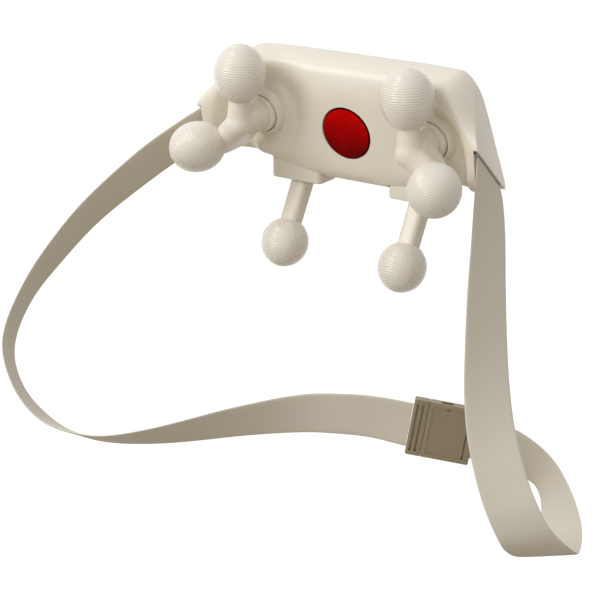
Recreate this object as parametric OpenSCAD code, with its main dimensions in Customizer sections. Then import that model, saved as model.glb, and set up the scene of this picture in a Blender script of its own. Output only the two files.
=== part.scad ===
// Neck and shoulder massager: a curved housing with two kneading forks, two thumb
// arms, a red heat window and a buckled shoulder strap. Millimetres.
// The origin is the centre of the heat window. -Y points at the wearer's neck, +Z up.

/* [Housing] */
// Half width of the housing at the strap slots
slot_x = 127.5; // [126.5:0.5:128.5]
// Height of the top above the heat window
body_top = 54; // [52:0.5:56]
// Depth of the underside below the heat window
body_bottom = 45; // [44:0.5:46]
// Depth from the nose to the back
body_depth = 44; // [43:0.5:46]
// How far the wings reach forward of the nose
wing_reach = 21; // [18:0.5:23]
// Depth of the hollow round each kneading head
pocket_depth = 6; // [5:0.5:6.5]
// How much deeper the hollow is beside each head, under the wing
hollow_depth = 11; // [8:0.5:12]
// Wall thickness
wall = 2.5; // [2:0.1:3]
// Angle at which the housing leans towards the neck
lean = 12; // [12:0.5:12]
// Place of the joint between the front and back covers, behind the nose
parting_y = 30; // [29:0.5:31]

/* [Kneading heads] */
// Distance of each spindle from the middle
head_x = 77; // [76:0.5:78]
// Height of the spindles above the heat window
head_z = 8; // [8:0.5:9]
// Tilt of the crank's skewed journal
skew = 5; // [4:0.5:5]
// Diameter of a finger ball
ball_d = 40; // [38:0.5:42]
// Length of a finger ball along its finger
ball_len = 46; // [44:0.5:48]

/* [Thumb arms] */
// Distance of each thumb from the middle
thumb_x = 55; // [54:0.5:56]
// Diameter of a thumb ball
thumb_ball_d = 38.4; // [37:0.1:40]
// Length from the thumb's pin to its ball
thumb_len = 63; // [60:0.5:66]

/* [Heat window] */
// Radius of the red window
lens_r = 21.2; // [20:0.1:22]

/* [Drive] */
// Gear module of worm and wheel
gear_module = 1.25; // [1.25:0.05:1.25]
// Teeth on each worm wheel
wheel_teeth = 24; // [24:1:24]

/* [Strap] */
// Width of the webbing
strap_w = 38; // [36:0.5:40]
// Thickness of the webbing
strap_t = 1.8; // [1.6:0.1:2]

/* [Hidden] */
$fn = 48;

cream = [0.90, 0.87, 0.80];
silicone = [0.88, 0.86, 0.82];
webbing = [0.68, 0.63, 0.55];
steel = [0.72, 0.72, 0.74];
brass = [0.78, 0.62, 0.32];
inner_plastic = [0.32, 0.33, 0.35];
big = 400;
gap = 0.05;

// A step that rises smoothly from 0 at a to 1 at b
function ease(a, b, x) = let (t = min(1, max(0, (x - a) / (b - a)))) t * t * (3 - 2 * t);
function unit(v) = v / norm(v);

// Housing form, in the leaned frame: plan curves, top and bottom lines, recesses
mid_z = 6;
round_top = 0.6;
round_bottom = 0.33;
loft_end = 134;
cavity_end = 98;
seat_y = 1.9;
function front_y(x) = -wing_reach * ease(50, 127, abs(x));
function back_y(x) = body_depth - 24 * ease(85, 132, abs(x));
function top_z(x) = body_top - 31 * ease(88, 129, abs(x));
function bottom_z(x, f) = -body_bottom + (1 - f) * 24 * ease(30, 110, abs(x))
    + f * 10 * ease(92, 130, abs(x));
function bowl(x, z, cx, cz, rx, rz) = 1 - ease(0.35, 1, norm([(abs(x) - cx) / rx, (z - cz) / rz]));
function pocket(x, z) = pocket_depth * bowl(x, z, 76, 14, 54, 50)
    + hollow_depth * bowl(x, z, 99, -12, 19, 46);
function nose(x, z) = 1 - ease(26, 46, norm([x, z]));
function seat(x, z) = 1 - ease(20, 31, norm([abs(x) - head_x, z - head_z]));

// One section of the housing at x, shrunk by inset: a superellipse, rounder above
ring_points = 36;
function section(x, inset) = [for (i = [0 : ring_points - 1])
    let (a = -360 * (i + 0.5) / ring_points,
         p = 2 / (sin(a) > 0 ? round_top : round_bottom),
         q = pow(pow(abs(cos(a)), p) + pow(abs(sin(a)), p), -1 / p),
         ey = q * cos(a), ez = q * sin(a),
         y0 = front_y(x) + inset, y1 = back_y(x) - inset,
         zt = top_z(x) - inset, zb = bottom_z(x, (ey + 1) / 2) + inset,
         z = ez > 0 ? mid_z + ez * (zt - mid_z) : mid_z + ez * (mid_z - zb),
         y = (y0 + y1) / 2 + ey * (y1 - y0) / 2,
         f = ey < 0 ? pow(-ey, 2) : 0,
         yp = y + f * pocket(x, z),
         yn = yp + (inset - yp) * nose(x, z) * f)
    [x, ey < 0 ? yn + (seat_y + inset - yn) * seat(x, z) * f : yp, z]];

// A closed solid through rings of equal point counts
module skin(rings) {
    n = len(rings[0]);
    m = len(rings);
    pts = [for (r = rings) each r];
    sides = [for (j = [0 : m - 2], i = [0 : n - 1])
        let (a = j * n + i, b = j * n + (i + 1) % n, c = a + n, d = b + n)
        each [[a, b, d], [a, d, c]]];
    first = [for (i = [1 : n - 2]) [0, i + 1, i]];
    last = [for (i = [1 : n - 2]) [(m - 1) * n, (m - 1) * n + i, (m - 1) * n + i + 1]];
    polyhedron(points = pts, faces = concat(sides, first, last), convexity = 6);
}

module leaned() rotate([lean, 0, 0]) children();
module side(s) if (s < 0) mirror([1, 0, 0]) children(); else children();
module both_sides() {
    children();
    mirror([1, 0, 0]) children();
}
// A cylinder along +Y from y0 to y1 in the leaned frame
module rod_y(x, z, y0, y1, r) translate([x, y0, z]) rotate([-90, 0, 0]) cylinder(h = y1 - y0, r = r);
module rod_x(y, z, x0, x1, r) translate([x0, y, z]) rotate([0, 90, 0]) cylinder(h = x1 - x0, r = r);
module block(lo, hi) translate(lo) cube(hi - lo);

// Strap slot: an oblique slit along the foot of each flank
slit_mid = [slot_x, 0.5, -10];
slit_len = 60;
slit_depth = 12;
slit_gap = 2.8;
skin_t = 1.6;
strap_seat_x = slot_x - 4.3;
module at_slit() translate(slit_mid) rotate([0, -18.7, 16.4]) rotate([-44.3, 0, 0]) children();

module loft(inset, end, count) {
    step = end / count;
    skin([for (k = [-count : count]) section(k * step, inset)]);
}

module housing_outside() difference() {
    leaned() loft(0, loft_end, 18);
    both_sides() {
        at_slit() translate([0, -big / 2, -big / 2]) cube([big, big, big]);
        translate([strap_seat_x, 0, 0]) rotate([90, 0, 90])
            linear_extrude(big) polygon([[-70, 53], [71, -73], [-70, -73]]);
        at_slit() translate([-skin_t - slit_gap, -slit_len / 2, -4])
            cube([slit_gap, slit_len - 2, slit_depth + 4]);
    }
}

// Screw places in the leaned frame: [x, z]
lid_screws = [[43, -22], [43, 16]];
gear_screws = [[60, 24.5], [94, 24.5], [60, -22.5], [94, -22.5]];
mount_screws = [[29, -22], [29, 0]];

// Kneading drive places in the leaned frame
pivot_y = -3.5;
worm_r = 4.5;
wheel_r = gear_module * wheel_teeth / 2;
drive_y = 22;
worm_z = head_z - wheel_r - worm_r;
case_front = 9;
case_back = 28.5;
cover_back = 31.5;
collar_r = 18.5;
boss_y = 13;

// A rectangle with rounded corners, centred
module rounded(w, h, r) polygon([for (q = [0 : 3], a = [0 : 15 : 90])
    [(q == 0 || q == 3 ? 1 : -1) * (w / 2 - r) + r * cos(90 * q + a),
     (q < 2 ? 1 : -1) * (h / 2 - r) + r * sin(90 * q + a)]]);

// Thumb block, in the upright frame
block_lo = [31, 11, -49];
block_hi = [79, 37, -30];
thumb_pivot = [thumb_x, 27.5, -42];
thumb_tilt = 29.7;

flange_lo = [28.5, 13, -29.5];
flange_hi = [81.5, 36, -28];
module thumb_opening() both_sides() {
    block(block_lo - [0.1, 0.1, 10], block_hi + [0.1, 0.1, 0.6]);
    block(flange_lo - [0.1, 0.1, 0], flange_hi + [0.1, 0.1, 0.1]);
}

module front_cover() color(cream) {
    difference() {
        union() {
            difference() {
                housing_outside();
                leaned() difference() {
                    loft(wall, cavity_end, 13);
                    both_sides() {
                        for (p = lid_screws) rod_y(p[0], p[1], -30, parting_y, 4);
                        for (p = gear_screws) rod_y(p[0], p[1], -30, boss_y, 3.5);
                        for (p = mount_screws) rod_y(p[0], p[1], -30, 8.5, 3.4);
                    }
                }
            }
            leaned() both_sides() rod_y(head_x, head_z, seat_y + gap, 6, collar_r + 3.5);
        }
        leaned() translate([-big / 2, parting_y, -big / 2]) cube(big);
        leaned() rod_y(0, 0, -5, 4, lens_r + 0.3);
        leaned() both_sides() {
            rod_y(head_x, head_z, -12, 8, collar_r - 2);
            rod_y(head_x, head_z, -20, seat_y + gap, collar_r + 1.6);
            for (p = lid_screws) rod_y(p[0], p[1], 14, parting_y + 1, 1.5);
            for (p = gear_screws) rod_y(p[0], p[1], 7, boss_y + 1, 1.5);
            for (p = mount_screws) rod_y(p[0], p[1], 4, 10, 1.25);
        }
        thumb_opening();
    }
}

button_z = 8;
button_x = 24;
lights_z = 23;
port_y = 38.7;

module back_cover() color(cream) leaned() difference() {
    rotate([-lean, 0, 0]) housing_outside();
    difference() {
        loft(wall, cavity_end, 13);
        both_sides() {
            for (p = lid_screws) rod_y(p[0], p[1], parting_y - 1, body_depth + 4, 4);
            rod_y(33, -28, 37.1, body_depth + 4, 3);
            rod_y(33, -28, 35, body_depth + 4, 1.2);
        }
    }
    rotate([-lean, 0, 0]) thumb_opening();
    translate([-big / 2, parting_y - big, -big / 2]) cube(big);
    both_sides() for (p = lid_screws) {
        rod_y(p[0], p[1], parting_y - 1, body_depth + 4, 1.7);
        rod_y(p[0], p[1], 36, body_depth + 4, 3.2);
    }
    rod_y(0, button_z, 35, body_depth + 4, 7.2);
    both_sides() rod_y(button_x, button_z, 35, body_depth + 4, 6.2);
    for (x = [-6, 0, 6]) rod_y(x, lights_z, 35, body_depth + 4, 1.05);
    hull() for (x = [-2.9, 2.9]) translate([x, port_y, -50]) cylinder(h = 18, r = 1.85, $fn = 12);
}

module heat_window() color("red") leaned() {
    rod_y(0, 0, 0, wall + 0.1, lens_r);
    rod_y(0, 0, wall + 0.1, 3.7, lens_r + 2.4);
}

module window_ring() color(inner_plastic) leaned() difference() {
    rod_y(0, 0, 3.75, 6.4, lens_r + 3);
    rod_y(0, 0, 3, 7, lens_r - 1.6);
}

module heat_board() color("darkgreen") leaned() {
    rod_y(0, 0, 6.5, 8.1, lens_r + 2.2);
    rod_y(0, 0, 4.9, 6.5, 1.5);
    for (a = [0 : 60 : 300]) rod_y(9 * cos(a), 9 * sin(a), 4.9, 6.5, 1.5);
    for (a = [15 : 30 : 345]) rod_y(16 * cos(a), 16 * sin(a), 4.9, 6.5, 1.5);
}

// Motor in the middle of the drive line
motor_half = 22;
motor_r = 12;
shaft_r = 2;
module motor() color(steel) leaned() difference() {
    union() {
        rod_x(drive_y, worm_z, -motor_half, motor_half, motor_r);
        rod_x(drive_y, worm_z, -motor_half - 2.5, motor_half + 2.5, 5);
    }
    rod_x(drive_y, worm_z, -30, 30, shaft_r + 0.1);
}

module motor_mounts() color(steel) leaned() both_sides() difference() {
    union() {
        block([motor_half + 0.1, 8.5, worm_z - 13], [motor_half + 2.4, 34, worm_z + 14]);
        block([motor_half + 0.1, 8.5, worm_z - 14.5], [33, 10.5, worm_z + 15.5]);
    }
    rod_x(drive_y, worm_z, 15, 30, 5.05);
    for (p = mount_screws) rod_y(p[0], p[1], 8, 12, 1.6);
}

// The worm shaft runs through the motor; flats drive the two worms
worm_in = 64;
worm_out = 90;
shaft_end = 96;
module worm_shaft() color(steel) leaned() {
    rod_x(drive_y, worm_z, -worm_in, worm_in, shaft_r);
    both_sides() {
        translate([worm_in, drive_y, worm_z]) rotate([0, 90, 0])
            cylinder(h = worm_out - worm_in, r = shaft_r, $fn = 6);
        rod_x(drive_y, worm_z, worm_out, shaft_end, shaft_r);
    }
}

// Single-start worm: a trapezoid thread swept along its helix on a core
lead = PI * gear_module;
worm_core_r = worm_r - 1.6;
worm_tip_r = worm_r + gear_module;
segs = 12;
thread_root = 1.35;
thread_tip = 0.55;
thread_start = head_x + lead / 4 - 3 * lead;
function helix(k) = let (a = 360 * k / segs, x = thread_start + lead * k / segs)
    [for (p = [[worm_core_r - 0.7, -thread_root], [worm_tip_r, -thread_tip],
               [worm_tip_r, thread_tip], [worm_core_r - 0.7, thread_root]])
        [x + p[1], p[0] * cos(a), p[0] * sin(a)]];
module worm() color(brass) leaned() translate([0, drive_y, worm_z]) difference() {
    union() {
        skin([for (k = [0 : floor((worm_out - thread_start - 1.2) / lead * segs)]) helix(k)]);
        translate([worm_in, 0, 0]) rotate([0, 90, 0])
            cylinder(h = worm_out - worm_in, r = worm_core_r, $fn = segs);
    }
    translate([worm_in - 1, 0, 0]) rotate([0, 90, 0])
        cylinder(h = worm_out - worm_in + 2, r = shaft_r + 0.02, $fn = 6);
}

// Worm wheel with helical teeth, on the hexagon of the crank shaft
wheel_w = 8;
wheel_twist = -4.2;
module worm_wheel() color(brass) at_pivot() translate([0, 0, pivot_y - drive_y - wheel_w / 2])
    difference() {
        linear_extrude(wheel_w, twist = wheel_twist, slices = 2)
            rotate(wheel_phase + wheel_twist / 2) polygon([for (t = [0 : wheel_teeth - 1])
                let (a = 360 * t / wheel_teeth)
                each [for (q = [[wheel_r - 1.6, -4.6], [wheel_r, -3.3], [wheel_r + gear_module, -1.8],
                                [wheel_r + gear_module, 1.8], [wheel_r, 3.3], [wheel_r - 1.6, 4.6]])
                    q[0] * [cos(a + q[1]), sin(a + q[1])]]]);
        translate([0, 0, -1]) cylinder(h = wheel_w + 2, r = crank_r + 0.02, $fn = 6);
    }
wheel_phase = -90;

// Crank: shaft, thrust head and skewed journal. Local +Z points out of the housing.
crank_r = 3.5;
journal_len = 22;
module at_pivot() leaned() translate([head_x, pivot_y, head_z]) rotate([90, 0, 0]) children();
module at_journal() at_pivot() rotate([-skew, 0, 0]) children();
function depth_z(y) = pivot_y - y;

module crank() color(steel) difference() {
    union() {
        at_pivot() {
            translate([0, 0, depth_z(17.9)]) cylinder(h = 17.9 - 8.8, r = crank_r);
            translate([0, 0, depth_z(26.2)]) cylinder(h = 26.2 - 17.9, r = crank_r, $fn = 6);
            translate([0, 0, depth_z(35)]) cylinder(h = 35 - 26.2, r = 3);
            translate([0, 0, depth_z(8.8)]) cylinder(h = 3.6, r = 6.5);
        }
        at_journal() translate([0, 0, -9.4]) cylinder(h = journal_len + 9.4, r = crank_r);
    }
    at_journal() translate([0, 0, -6.2]) difference() {
        cylinder(h = 1.9, r = 6);
        translate([0, 0, -1]) cylinder(h = 4, r = 2.75);
    }
    at_pivot() translate([0, 0, depth_z(33.6)]) difference() {
        cylinder(h = 0.9, r = 6);
        translate([0, 0, -1]) cylinder(h = 3, r = 2.3);
    }
}

module shaft_clip() color(steel) at_pivot() translate([0, 0, depth_z(33.55)]) difference() {
    cylinder(h = 0.8, r = 5);
    translate([0, 0, -1]) cylinder(h = 3, r = 2.32);
    translate([-1.6, -6, -1]) cube([3.2, 6, 3]);
}

module bush() color(brass) at_pivot() translate([0, 0, depth_z(14.5)]) difference() {
    cylinder(h = 14.5 - case_front, r = 5.5);
    translate([0, 0, -1]) cylinder(h = 10, r = crank_r + gap);
}

peg_r = 1.5;
peg_place = 9.4;
module gear_case() color(inner_plastic) difference() {
    leaned() block([57, case_front, -26], [97, case_back, 27.9]);
    leaned() {
        rod_y(head_x, head_z, 14.5, case_back + 1, 17.2);
        rod_x(drive_y, worm_z, 62.5, 92, 6.6);
        block([62.5, drive_y, worm_z - 6.6], [92, case_back + 1, worm_z + 6.6]);
        rod_x(drive_y, worm_z, 50, 100, shaft_r + gap);
        for (p = gear_screws) {
            rod_y(p[0], p[1], 5, case_back + 1, 1.7);
            rod_y(p[0], p[1], 5, boss_y + gap, 3.6);
        }
    }
    at_pivot() {
        translate([0, 0, depth_z(15)]) cylinder(h = 8, r = 5.5);
        translate([0, peg_place, depth_z(14)]) cylinder(h = 8, r = 3.2);
    }
}

module gear_cover() color(inner_plastic) difference() {
    leaned() {
        block([57, case_back, -26], [97, cover_back, 27.9]);
        rod_y(head_x, head_z, case_back, 32.6, 7);
    }
    leaned() {
        rod_y(head_x, head_z, 20, 40, 3 + gap);
        for (p = gear_screws) rod_y(p[0], p[1], 20, 40, 1.7);
    }
}

module screw_y(p, head_y, tip_y, r, head_r) {
    rod_y(p[0], p[1], tip_y, head_y, r);
    rod_y(p[0], p[1], head_y, head_y + 2, head_r);
}
module cover_screws() color(steel) leaned() both_sides()
    for (p = lid_screws) screw_y(p, 36, 16, 1.5, 3);
module case_screws() color(steel) leaned() both_sides() {
    for (p = gear_screws) screw_y(p, cover_back, 7.4, 1.5, 2.8);
    for (p = mount_screws) screw_y(p, 10.5, 4.5, 1.25, 2.4);
}

module collar() color(cream) at_pivot() rotate_extrude() polygon([
    [15.6, 2.4], [16.6, 3], [17.4, 2.6], [collar_r, 0.6], [collar_r, -2.5], [20, -3.4],
    [20, -5.4], [16.4, -5.4], [16.4, -9.2], [15.9, -9.2], [15.9, -2], [15.6, -0.5]]);

// Fork: hub ball, neck, palm and two fingers. Centres are in the pivot's frame.
hub_r = 15;
journal_reach = 29.5;
palm = [0, journal_reach * tan(skew), journal_reach];
upper_ball = [-2, 42.5, 21.5];
lower_ball = [30, -13, 47.5];
core_r = 16.5;
upper_neck_r = 7.4;
lower_neck_r = 11;
function along(a, b, t) = a + (b - a) * t;
module ball_at(p, r) translate(p) sphere(r = r, $fn = 20);

module fork() color(cream) difference() {
    union() {
        at_journal() rotate_extrude() polygon(concat([[0, -4.5], [14.2, -4.5]],
            [for (a = [-17 : 5 : 18]) hub_r * [cos(a), sin(a)]],
            [[11.6, 4.8], [11.6, 5.8], [12.2, 6.4], [11.9, 16], [10.8, 29], [0, 29]]));
        at_pivot() {
            hull() {
                ball_at(along(palm, upper_ball, 0.1), 9.4);
                ball_at(along(palm, upper_ball, 0.8), upper_neck_r);
            }
            hull() {
                ball_at([0, 1, 17], 10.4);
                ball_at(palm, lower_neck_r);
            }
            hull() {
                ball_at(palm, lower_neck_r);
                ball_at(along(palm, lower_ball, 0.8), lower_neck_r);
            }
            translate(upper_ball) sphere(r = core_r);
            translate(lower_ball) sphere(r = core_r);
        }
    }
    at_journal() translate([0, 0, -6]) cylinder(h = journal_len + 6.5, r = crank_r + gap);
}

module fork_retainer() color(inner_plastic) at_journal() {
    difference() {
        translate([0, 0, -6]) cylinder(h = 1.5, r = 11);
        translate([0, 0, -7]) cylinder(h = 3, r = 2.8);
        translate([-2.8, -12, -7]) cube([5.6, 12, 3]);
    }
    translate([0, peg_place, -15]) cylinder(h = 9, r = peg_r);
}

// Points a child along the line from a to b, with its +Z towards b
module aimed(a, b) {
    d = b - a;
    translate(b) rotate([0, acos(d[2] / norm(d)), atan2(d[1], d[0])]) children();
}
module egg(r, half) rotate_extrude($fn = 64) polygon([for (a = [-90 : 7.5 : 90])
    [max(0, r * cos(a)), half * sin(a)]]);
module pad(r, half, neck_r) difference() {
    egg(r, half);
    sphere(r = core_r + 0.12);
    translate([0, 0, -half - 5]) cylinder(h = half + 5, r = neck_r);
}
module upper_pad() color(silicone) at_pivot() aimed(palm, upper_ball)
    pad(ball_d / 2, ball_len / 2, 8.4);
module lower_pad() color(silicone) at_pivot() aimed(palm, lower_ball)
    pad(ball_d / 2, ball_len / 2, lower_neck_r + 0.1);

// Thumbs: arm on a pin in its block, ball at the end
stem_r = 7.75;
pin_r = 2;
module at_thumb() translate(thumb_pivot) rotate([180 - thumb_tilt, 0, 0]) children();
module thumb_arm() color(cream) difference() {
    at_thumb() {
        cylinder(h = thumb_len, r = stem_r);
        rotate([0, 90, 0]) translate([0, 0, -8]) cylinder(h = 16, r = stem_r);
        translate([0, 0, thumb_len]) sphere(r = core_r);
    }
    rod_x(thumb_pivot[1], thumb_pivot[2], 40, 70, pin_r + gap);
}
module thumb_pad() color(silicone) at_thumb() translate([0, 0, thumb_len])
    pad(thumb_ball_d / 2, thumb_ball_d / 2 + 0.8, stem_r + 0.3);
module thumb_pin() color(steel) rod_x(thumb_pivot[1], thumb_pivot[2], 35, 75, pin_r);
module thumb_block() color(cream) difference() {
    union() {
        intersection() {
            translate([thumb_x, block_lo[1], (block_lo[2] + block_hi[2]) / 2]) rotate([-90, 0, 0])
                linear_extrude(block_hi[1] - block_lo[1])
                rounded(block_hi[0] - block_lo[0], block_hi[2] - block_lo[2], 1.6);
            translate([thumb_x, (block_lo[1] + block_hi[1]) / 2, block_lo[2]])
                linear_extrude(block_hi[2] - block_lo[2])
                rounded(block_hi[0] - block_lo[0], block_hi[1] - block_lo[1], 5);
        }
        block(flange_lo + [0.1, 0.1, 0.1], flange_hi - [0.1, 0.1, 0]);
        block([40, 16, -31], [70, 33, -29]);
    }
    at_thumb() rotate([0, 90, 0]) translate([0, 0, -8.3]) linear_extrude(16.6) {
        circle(8.6);
        translate([-30, -9.4]) square([30, 18.8]);
    }
    rod_x(thumb_pivot[1], thumb_pivot[2], thumb_x + 8.2, thumb_x + 14, 5.4);
    rod_x(thumb_pivot[1], thumb_pivot[2], 34, 76, pin_r);
}
spring_turns = 4;
wire_r = 0.4;
module thumb_spring() color(steel) translate([thumb_x + 8.9, thumb_pivot[1], thumb_pivot[2]])
    skin([for (k = [0 : spring_turns * 12]) let (a = 360 * k / 12, x = 0.2 + k / 12)
        [for (b = [60 : 60 : 360]) let (r = 3.6 + wire_r * cos(b))
            [x + wire_r * sin(b), r * cos(a), r * sin(a)]]]);

// Electronics and battery
module main_board() color("darkgreen") leaned() difference() {
    union() {
        block([-37, 35.5, -34], [37, 37.1, 27]);
        block([-30, 37.1, -20], [-18, 38.6, -8]);
        block([14, 37.1, -22], [24, 39.4, -12]);
        for (x = [-button_x, 0, button_x])
            block([x - 3, 37.1, button_z - 3], [x + 3, 38.6, button_z + 3]);
    }
    both_sides() rod_y(33, -28, 30, 40, 1.3);
}
module charging_port() color(steel) leaned() difference() {
    hull() for (x = [-2.9, 2.9]) translate([x, port_y, -40]) cylinder(h = 7.4, r = 1.55);
    difference() {
        hull() for (x = [-2.9, 2.9]) translate([x, port_y, -41]) cylinder(h = 7.2, r = 1.2);
        block([-3, port_y - 0.35, -39.4], [3, port_y + 0.35, -33]);
    }
}
cell_y = 21;
cell_z = 38.5;
module battery_cells() color("steelblue") leaned() both_sides()
    rod_x(cell_y, cell_z, 0.5, 65.5, 9.25);
module battery_tray() color(inner_plastic) leaned() difference() {
    block([-68, 10.5, 29.5], [68, cell_y - 2, 47.5]);
    rod_x(cell_y, cell_z, -66, 66, 9.3);
}

module button(x, r) color(cream) leaned() {
    rod_y(x, button_z, 41.4, body_depth + 0.8, r);
    rod_y(x, button_z, 40.2, 41.4, r + 0.9);
    rod_y(x, button_z, 39.5, 40.2, 2);
}
module power_button() button(0, 7);
module mode_button() button(-button_x, 6);
module heat_button() button(button_x, 6);
module status_lights() color("white") leaned()
    for (x = [-6, 0, 6]) rod_y(x, lights_z, 38.5, body_depth - 0.4, 1);

// Strap: flat webbing from each slit to the buckle. Each row is a point on its
// middle line and the direction across it, towards the same edge all the way.
left_route = [
    [[-124.4, -8.3, -4.7], [0.3, -15, 13.2]], [[-141, -23, -19], [0, -14, 13]], [[-164, -43, -40], [1, -14, 13]],
    [[-192, -80, -75], [3, -15, 11]], [[-210, -110, -109], [5, -16, 10]],
    [[-220, -132, -137], [7, -16, 8]], [[-224, -148, -164], [8, -16, 7]],
    [[-220, -156, -186], [9, -15, 7]], [[-207, -158, -210], [10, -15, 6]],
    [[-188, -155, -228], [10, -15, 6]], [[-167, -147, -239], [10, -14, 8]],
    [[-140, -133, -244], [9, -13, 10]], [[-103, -109, -240], [7, -11, 13]],
    [[-49, -74, -227], [4, -8, 17]], [[-9, -48, -220], [2, -4, 18]],
    [[22, -31, -219], [2, -2, 19]], [[43, -19, -221], [2, -1, 19]], [[66.4, -6, -226.2], [2.6, 1.4, 19]]];
right_route = [
    [[108.7, 17, -233.8], [2.6, 1.4, 19]], [[123, 26, -239], [3, -1, 18]], [[140, 38, -248], [4, -3, 18]],
    [[159, 47, -263], [8, -5, 16]], [[174, 42, -281], [13, -3, 13]], [[188, 22, -297], [17, 2, 7]],
    [[197, -10, -300], [17, 9, 2]], [[191, -34, -282], [16, 12, 4]], [[181, -42, -260], [15, 13, 6]],
    [[168, -41, -234], [13, 14, 6]], [[154, -35, -201], [11, 15, 5]], [[145, -28, -169], [10, 16, 3]],
    [[139, -21, -135], [8, 17, 2]], [[134, -14, -97], [6, 18, 2]], [[130, -7, -60], [4, 19, 1]],
    [[127, -3, -32], [2, 19, -4]], [[125.1, -1.2, -10.5], [0.3, 19, -16.8]]];

// A smooth curve through the rows, and the flat section on it
substeps = 2;
function pick(route, i) = route[min(len(route) - 1, max(0, i))];
function spline(a, b, c, d, t) = 0.5 * (2 * b + (c - a) * t + (2 * a - 5 * b + 4 * c - d) * t * t
    + (3 * b - 3 * c + d - a) * t * t * t);
function on_route(route, i, t, k) = spline(pick(route, i - 1)[k], pick(route, i)[k],
    pick(route, i + 1)[k], pick(route, i + 2)[k], t);
function strap_ring(p, across, run) = let (
        n = unit(cross(run, across)), w = unit(across) * norm(run) * norm(across)
            / norm(cross(run, across)), h = strap_w / 2, t = strap_t / 2)
    [for (q = [[1, -0.7], [0.4, -1], [-0.4, -1], [-1, -0.7], [-1, 0.7], [-0.4, 1], [0.4, 1], [1, 0.7]])
        p + w * h * q[0] + n * t * q[1]];
module strap(route) color(webbing) {
    last = (len(route) - 1) * substeps;
    mid = [for (k = [0 : last]) let (i = floor(k / substeps)) on_route(route, i, k / substeps - i, 0)];
    across = [for (k = [0 : last]) let (i = floor(k / substeps)) on_route(route, i, k / substeps - i, 1)];
    skin([for (k = [0 : last])
        strap_ring(mid[k], across[k], mid[min(last, k + 1)] - mid[max(0, k - 1)])]);
}

module strap_anchor() color(steel) at_slit() translate([-skin_t - slit_gap + 0.2, -27, 0])
    cube([slit_gap - 0.4, 53, slit_depth - 0.2]);

// Side-release buckle, in its own frame: +X along the strap to the right
module at_buckle() translate([87.5, 5.5, -230]) rotate([0, 9, 28.5]) children();
buckle_h = 48;
buckle_t = 7;
plug_in = -24;
socket_in = -12;
socket_out = 24;
module buckle_plug() color(cream) at_buckle() {
    difference() {
        block([plug_in, -buckle_t / 2, -buckle_h / 2], [socket_in - 0.2, buckle_t / 2, buckle_h / 2]);
        for (x = [-21.5, -17], y = [-5.9, 0.9]) block([x, y, -20], [x + 2, y + 5, 20]);
    }
    block([socket_in - 1, -1.5, -15], [10, 1.5, 15]);
    for (s = [-1, 1]) translate([0, 0, s * 18]) block([socket_in - 1, -1.5, -1.5], [8, 1.5, 1.5]);
}
module buckle_socket() color(cream) at_buckle() difference() {
    block([socket_in, -buckle_t / 2, -buckle_h / 2], [socket_out, buckle_t / 2, buckle_h / 2]);
    block([socket_in - 1, -1.8, -20], [12, 1.8, 20]);
    for (s = [-1, 1]) translate([2, 0, s * 22]) cube([9, 3.6, 6], center = true);
}

front_cover();
back_cover();
heat_window();
window_ring();
heat_board();
motor();
motor_mounts();
worm_shaft();
main_board();
charging_port();
battery_cells();
battery_tray();
power_button();
mode_button();
heat_button();
status_lights();
cover_screws();
case_screws();
side(-1) collar();  // left_collar
side(1) collar();  // right_collar
side(-1) gear_case();  // left_gear_case
side(1) gear_case();  // right_gear_case
side(-1) gear_cover();  // left_gear_cover
side(1) gear_cover();  // right_gear_cover
side(-1) bush();  // left_bush
side(1) bush();  // right_bush
side(-1) worm();  // left_worm
side(1) worm();  // right_worm
side(-1) worm_wheel();  // left_worm_wheel
side(1) worm_wheel();  // right_worm_wheel
side(-1) crank();  // left_crank
side(1) crank();  // right_crank
side(-1) shaft_clip();  // left_shaft_clip
side(1) shaft_clip();  // right_shaft_clip
side(-1) fork();  // left_fork
side(1) fork();  // right_fork
side(-1) fork_retainer();  // left_fork_retainer
side(1) fork_retainer();  // right_fork_retainer
side(-1) upper_pad();  // left_upper_pad
side(1) upper_pad();  // right_upper_pad
side(-1) lower_pad();  // left_lower_pad
side(1) lower_pad();  // right_lower_pad
side(-1) thumb_block();  // left_thumb_block
side(1) thumb_block();  // right_thumb_block
side(-1) thumb_arm();  // left_thumb_arm
side(1) thumb_arm();  // right_thumb_arm
side(-1) thumb_pad();  // left_thumb_pad
side(1) thumb_pad();  // right_thumb_pad
side(-1) thumb_pin();  // left_thumb_pin
side(1) thumb_pin();  // right_thumb_pin
side(-1) thumb_spring();  // left_thumb_spring
side(1) thumb_spring();  // right_thumb_spring
side(-1) strap_anchor();  // left_strap_anchor
side(1) strap_anchor();  // right_strap_anchor
strap(left_route);  // left_strap
strap(right_route);  // right_strap
buckle_plug();
buckle_socket();
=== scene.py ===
from math import acos, asin, atan2, copysign, cos, hypot, pi, radians, sin, sqrt, tan
import bpy
import bmesh
from mathutils import Matrix, Vector


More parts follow.
